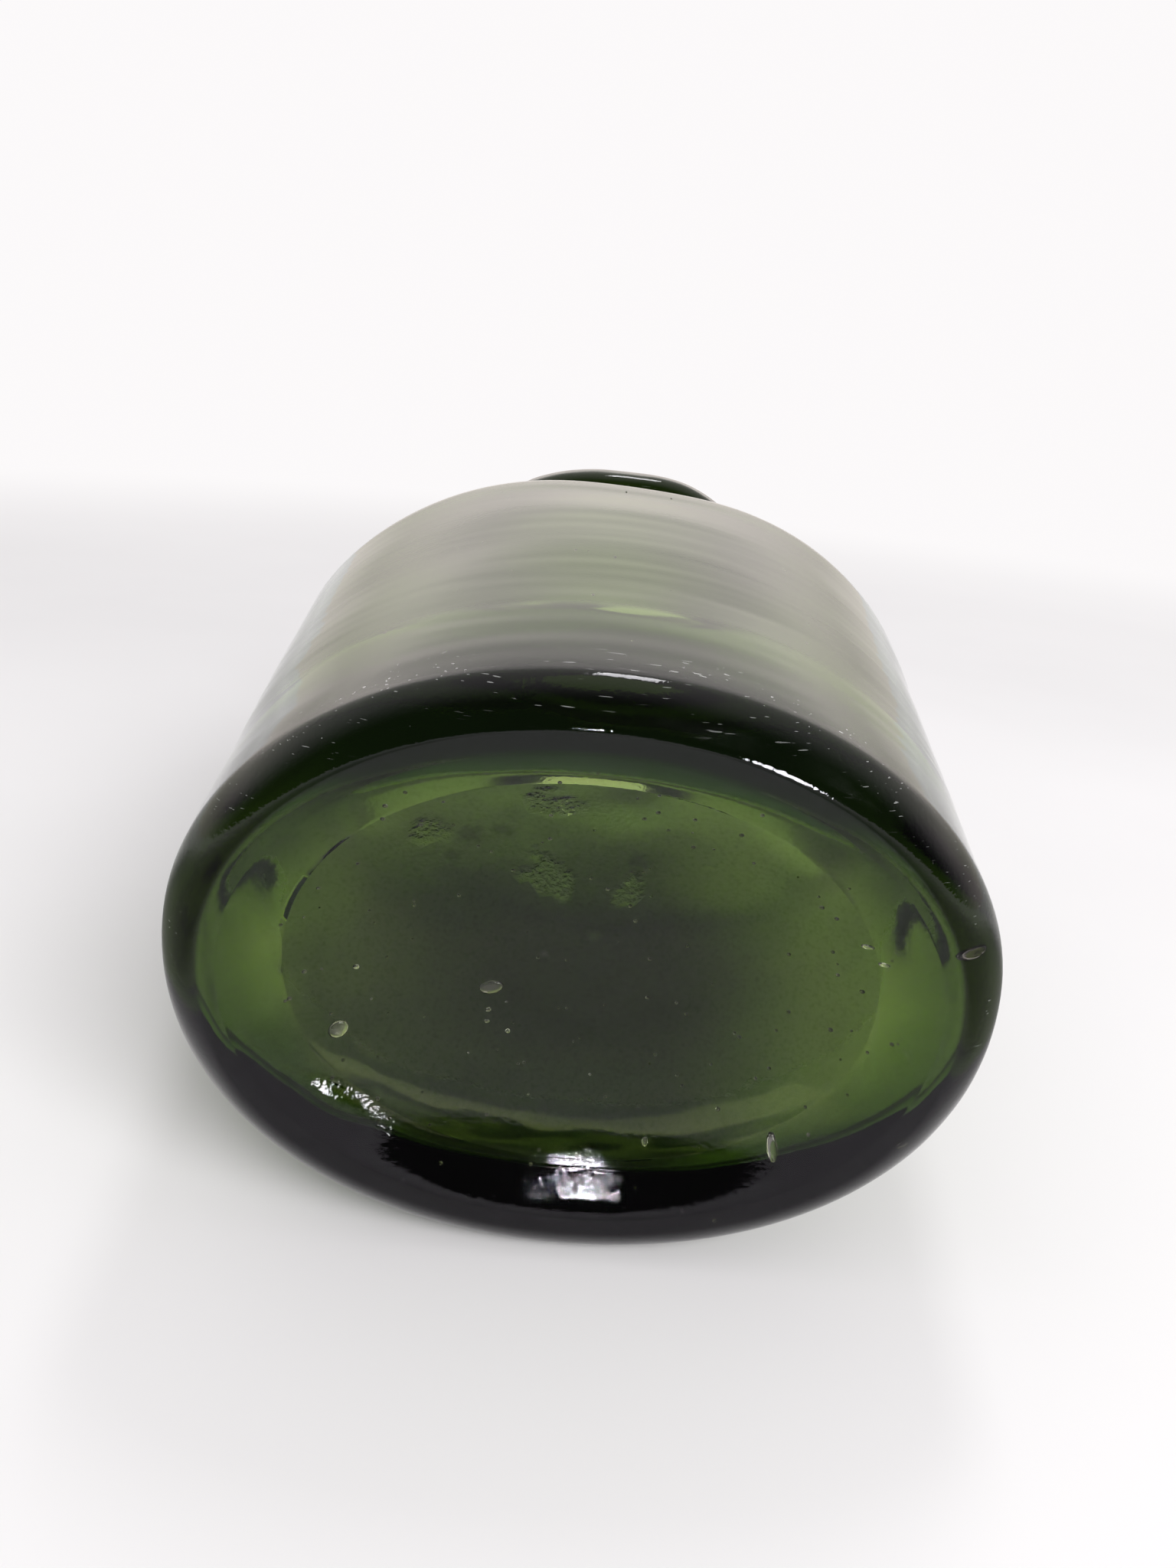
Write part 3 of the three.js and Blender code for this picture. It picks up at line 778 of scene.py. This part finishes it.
def collar():
    """Points and faces of the collar: its two rounded edges, joined by flats, and its seat on the neck."""
    rounding = min(COLLAR_EDGE_RADIUS, (COLLAR_THICKNESS - COLLAR_BACK_RISE) / 2)

    def edge(first_turn, centre):
        sections = []
        for s in steps(COLLAR_EDGE_ROWS, True):
            turn = first_turn + s * QUARTER_TURN
            inset = rounding * (1 - math.cos(turn))
            sections.append(Section(centre + rounding * math.sin(turn), COLLAR_WIDTH / 2 - inset,
                                    COLLAR_DEPTH / 2 - inset, COLLAR_SQUARENESS))
        return sections

    rows = edge(-QUARTER_TURN, COLLAR_START + COLLAR_BACK_RISE + rounding) + edge(0, MOUTH_HEIGHT - rounding)
    seat_start = len(rows)
    for s in steps(COLLAR_SEAT_ROWS, True)[::-1]:
        height = mix(COLLAR_START, MOUTH_HEIGHT, s)
        radius = neck_radius(height) + COLLAR_SEAT_GAP
        rows.append(Section(height, radius, radius, ROUND_SQUARENESS))
    points, faces = skin(rows)
    seat = np.repeat(np.arange(len(rows)), AROUND) >= seat_start
    shift = COLLAR_RISE * noise(points, *COLLAR_LUMPS) + FINE_COLLAR_RISE * noise(points, *FINE_COLLAR_LUMPS)
    shift += COLLAR_SWELL * rising(points[:, 2], *COLLAR_SWELL_BEGINS)
    return points + point_normals(points, faces) * np.where(seat, 0, shift)[:, None], faces


NO_MARKS = {"clear_of_stain_and_shade": 1, "haze": 0, "grain": 0, "wear": 0, "crust": 0}
# The collar's low value darkens it nearly to black as painted shade.
COLLAR_MARKS = {"clear_of_stain_and_shade": 0.06, "haze": 0, "grain": 0.12, "wear": 0.3, "crust": 0}


def spread(values, count):
    return {name: np.broadcast_to(value, count) for name, value in values.items()}


skin_points, skin_faces, skin_values = blown_body()
gas_points, gas_faces, gas_values = gas_in_the_glass()
gas_values = spread({**NO_MARKS, **gas_values}, len(gas_points))
body = mesh_object("blown_body_glass", placed(np.concatenate([skin_points, gas_points])),
                   skin_faces + [tuple(len(skin_points) + i for i in face) for face in gas_faces],
                   glass_material("bottle_glass", BOTTLE_STREAKS, BOTTLE_SHADE_AND_STAIN))
set_values(body, **{name: np.concatenate([skin_values[name], gas_values[name]]) for name in NO_MARKS})
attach(body, "root")
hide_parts("blown_body")

collar_points, collar_faces = collar()
collar_piece = mesh_object("applied_collar_glass", placed(collar_points), collar_faces,
                           glass_material("collar_glass", COLLAR_STREAKS, COLLAR_PAINTED_SHADE))
set_values(collar_piece, **spread(COLLAR_MARKS, len(collar_points)))
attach(collar_piece, "root")
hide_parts("applied_collar")


# Floor, in metres. Seen through the glass it glows as under a backdrop, also close to the bottle, which is
# painted light where the bottle's shade falls; mirrored in the glass it has painted shade on either side of the
# base.
FLOOR_SIZE, FLOOR_GAP = 6, 0.00005
FLOOR_NOISE = {"Scale": 5.0, "Detail": 3.0}
FLOOR_STOPS = [(0.3, (0.86, 0.845, 0.85)), (0.7, (0.9, 0.885, 0.89))]
FLOOR_ROUGHNESS, FLOOR_SPECULAR = 0.9, 0.1
BACKDROP_COLOUR, WARM_BACKDROP_COLOUR = (0.97, 0.95, 0.955, 1), (1, 0.925, 0.875, 1)
FAR_GLOW_BEGINS = (0.3, 1.0)
# Painted light: close to the bottle and beside it, rays through the glass see the floor glow instead of its
# shade.
NEAR_GLOW_BEGINS, NEAR_GLOW = (0.12, 0.27), 0.85
SIDE_GLOW_BEGINS, SIDE_GLOW = (0.05, 0.09), 0.95
# Painted shade mirrored in the glass beside the base: where it begins sideways, its strength, where it ends
# behind, and its level.
MIRRORED_SHADE_BEGINS, MIRRORED_SHADE_SHARE, MIRRORED_SHADE_ENDS_BEHIND, MIRRORED_SHADE_LEVEL = (0.07, 0.13), 0.75, (-0.02, 0.1), 0.1


def floor_material():
    """Plain pale floor that glows like the backdrop far away, and nearer by as painted light for rays through
    the glass; mirrored in the glass it has painted shade beside the base.
    """
    material, graph, shader = new_material("pale_floor")
    place = graph.coordinates("Object")
    graph.feed(shader.inputs["Base Color"], graph.ramp(graph.noise(place, **FLOOR_NOISE), FLOOR_STOPS))
    shader.inputs["Roughness"].default_value = FLOOR_ROUGHNESS
    shader.inputs["Specular IOR Level"].default_value = FLOOR_SPECULAR
    rays = graph.nodes.new("ShaderNodeLightPath").outputs
    length = graph.nodes.new("ShaderNodeVectorMath")
    length.operation = "LENGTH"
    graph.feed(length.inputs[0], place)
    away = length.outputs["Value"]
    apart = graph.add("ShaderNodeSeparateXYZ", Vector=place).outputs
    sideways = graph.maths("ABSOLUTE", apart["X"])

    seen = graph.maths("MAXIMUM", rays["Is Camera Ray"],
                       graph.maths("MAXIMUM", rays["Is Glossy Ray"], rays["Is Transmission Ray"]))
    far = graph.maths("MULTIPLY", graph.ranged(away, *FAR_GLOW_BEGINS, 0, 1), seen)
    # Painted light where the bottle's shade falls, seen only through the glass
    near = graph.maths("MAXIMUM", graph.ranged(away, *NEAR_GLOW_BEGINS, 0, NEAR_GLOW),
                       graph.ranged(sideways, *SIDE_GLOW_BEGINS, 0, SIDE_GLOW))
    through = graph.maths("MULTIPLY", near, rays["Is Transmission Ray"])
    # Painted shade, seen only mirrored in the glass, on either side of the base
    mirrored_shade = graph.maths("MULTIPLY", graph.ranged(sideways, *MIRRORED_SHADE_BEGINS, 0, MIRRORED_SHADE_SHARE),
                       graph.ranged(apart["Y"], *MIRRORED_SHADE_ENDS_BEHIND, 1, 0))

    glow = graph.add("ShaderNodeEmission", Color=BACKDROP_COLOUR, Strength=1.0).outputs["Emission"]
    # Emission for that painted shade
    dark = graph.add("ShaderNodeEmission", Color=BACKDROP_COLOUR, Strength=MIRRORED_SHADE_LEVEL).outputs["Emission"]
    plain = graph.shader_mix(graph.maths("MULTIPLY", mirrored_shade, rays["Is Glossy Ray"]), shader.outputs["BSDF"], dark)
    whole = graph.shader_mix(graph.maths("MAXIMUM", far, through), plain, glow)
    graph.feed(graph.nodes["Material Output"].inputs["Surface"], whole)
    return material


floor_corners = np.array([(-1, -1, 0), (1, -1, 0), (1, 1, 0), (-1, 1, 0)]) * FLOOR_SIZE / 2 - [0, 0, FLOOR_GAP]
floor = mesh_object("floor", floor_corners, [(0, 1, 2, 3)], floor_material(), smooth_faces=False)


# Lamps: shape, place, target, width and height in metres, radiance where white is 1, and the rays that see them
BASE_TARGET, LOW_TARGET = (0, -0.1, 0.05), (0, -0.1, 0.02)
LAMPS = {
    "key_softbox": ("RECTANGLE", (0.8, -1.35, 1.0), (0, 0, 0), 1.1, 0.9, 10.1, ("diffuse", "transmission")),
    "heel_lamp": ("RECTANGLE", (0.08, 0.45, 1.1), BASE_TARGET, 0.2, 0.26, 12, ("diffuse", "glossy")),
    "glint_lamp": ("ELLIPSE", (0.45, -1.3, 0.12), LOW_TARGET, 0.22, 0.2, 42, ("glossy",)),
    "dish_lamp": ("ELLIPSE", (-0.004, -1.3, 0.192), LOW_TARGET, 0.026, 0.013, 420, ("glossy", "transmission")),
}


def area_lamp(name, shape, place, target, width, height, radiance, rays):
    """A flat lamp. A rectangular one has a face as bright as white times radiance."""
    lamp = bpy.data.lights.new(name, "AREA")
    lamp.shape = shape
    lamp.size, lamp.size_y = width, height
    lamp.energy = radiance * math.pi * width * height
    thing = bpy.data.objects.new(name, lamp)
    thing.location = place
    thing.rotation_euler = (Vector(target) - Vector(place)).to_track_quat("-Z", "Y").to_euler()
    thing.visible_diffuse = "diffuse" in rays
    thing.visible_glossy = "glossy" in rays
    thing.visible_transmission = "transmission" in rays
    bpy.context.scene.collection.objects.link(thing)


for lamp_name, settings in LAMPS.items():
    area_lamp(lamp_name, *settings)


# World. The pairs are where a change begins and ends along the Y or Z of a ray's direction.
BACKDROP_BEGINS, BACKDROP_THINS, BACKDROP_TOP = (-0.55, 0.1), (0.15, 0.75), 0.25
FRONT_LEVEL = 0.09
OVERHEAD_BEGINS, OVERHEAD = (0.1, 0.3), 0.5
ABOVE_BEGINS = (0.3, 0.55)
AMBIENT_COLOUR, AMBIENT_RISES, AMBIENT_LEVELS = (1, 0.985, 0.995, 1), (0, 0.9), (0.08, 0.68)


def studio_world():
    """White for the camera, a backdrop behind the bottle for the glass, and soft light from above."""
    world = bpy.data.worlds.new("studio")
    bpy.context.scene.world = world
    world.use_nodes = True
    graph = Graph(world.node_tree)
    graph.nodes.clear()
    out = graph.nodes.new("ShaderNodeOutputWorld")
    rays = graph.nodes.new("ShaderNodeLightPath").outputs
    direction = graph.add("ShaderNodeSeparateXYZ", Vector=graph.coordinates("Generated")).outputs

    behind = graph.ranged(direction["Y"], *BACKDROP_BEGINS, 0, 1)
    backdrop = graph.maths("MULTIPLY", behind, graph.ranged(direction["Z"], *BACKDROP_THINS, 1, BACKDROP_TOP))
    level = graph.ranged(backdrop, 0, 1, FRONT_LEVEL, 1, "LINEAR")
    overhead = graph.maths("MULTIPLY", behind, graph.ranged(direction["Z"], *OVERHEAD_BEGINS, 0, OVERHEAD))
    overhead = graph.maths("MULTIPLY", overhead, rays["Is Glossy Ray"])
    above = graph.ranged(direction["Z"], *ABOVE_BEGINS, 0, 1)
    above = graph.maths("MULTIPLY", above, rays["Is Transmission Ray"])
    level = graph.maths("ADD", level, graph.maths("MAXIMUM", overhead, above))

    colour = graph.colour_mix(backdrop, BACKDROP_COLOUR, WARM_BACKDROP_COLOUR)
    for_glass = graph.add("ShaderNodeBackground", Color=colour, Strength=level)
    ambient_level = graph.ranged(direction["Z"], *AMBIENT_RISES, *AMBIENT_LEVELS)
    ambient = graph.add("ShaderNodeBackground", Color=AMBIENT_COLOUR, Strength=ambient_level)
    for_camera = graph.add("ShaderNodeBackground", Color=BACKDROP_COLOUR, Strength=1.0)
    at_glass = graph.maths("MAXIMUM", rays["Is Glossy Ray"], rays["Is Transmission Ray"])
    lit = graph.shader_mix(at_glass, ambient.outputs["Background"], for_glass.outputs["Background"])
    whole = graph.shader_mix(rays["Is Camera Ray"], lit, for_camera.outputs["Background"])
    graph.feed(out.inputs["Surface"], whole)


studio_world()

# Camera as in the photograph: place in metres, turns, and focal length as a share of the frame's height
CAMERA_PLACE = Vector((-0.00282, -0.23453, 0.12396))
PITCH, YAW, ROLL = math.radians(19.52), math.radians(0.53), math.radians(5.47)
FOCAL_SHARE = 1500 / 2048
SENSOR = 36
CLIP_START = 0.005


def photograph_camera():
    forward = Vector((math.sin(YAW) * math.cos(PITCH), math.cos(YAW) * math.cos(PITCH), -math.sin(PITCH)))
    level_right = Vector((math.cos(YAW), -math.sin(YAW), 0))
    level_down = forward.cross(level_right)
    right = level_right * math.cos(ROLL) - level_down * math.sin(ROLL)
    down = level_down * math.cos(ROLL) + level_right * math.sin(ROLL)
    lens = bpy.data.cameras.new("camera")
    lens.sensor_width = SENSOR
    lens.lens = FOCAL_SHARE * SENSOR
    lens.clip_start = CLIP_START
    camera = bpy.data.objects.new("camera", lens)
    axes = Matrix((right, -down, -forward)).transposed()
    camera.matrix_world = Matrix.Translation(CAMERA_PLACE) @ axes.to_4x4()
    bpy.context.scene.collection.objects.link(camera)
    return camera


bpy.context.scene.camera = photograph_camera()
bpy.context.scene.view_settings.view_transform = "Standard"
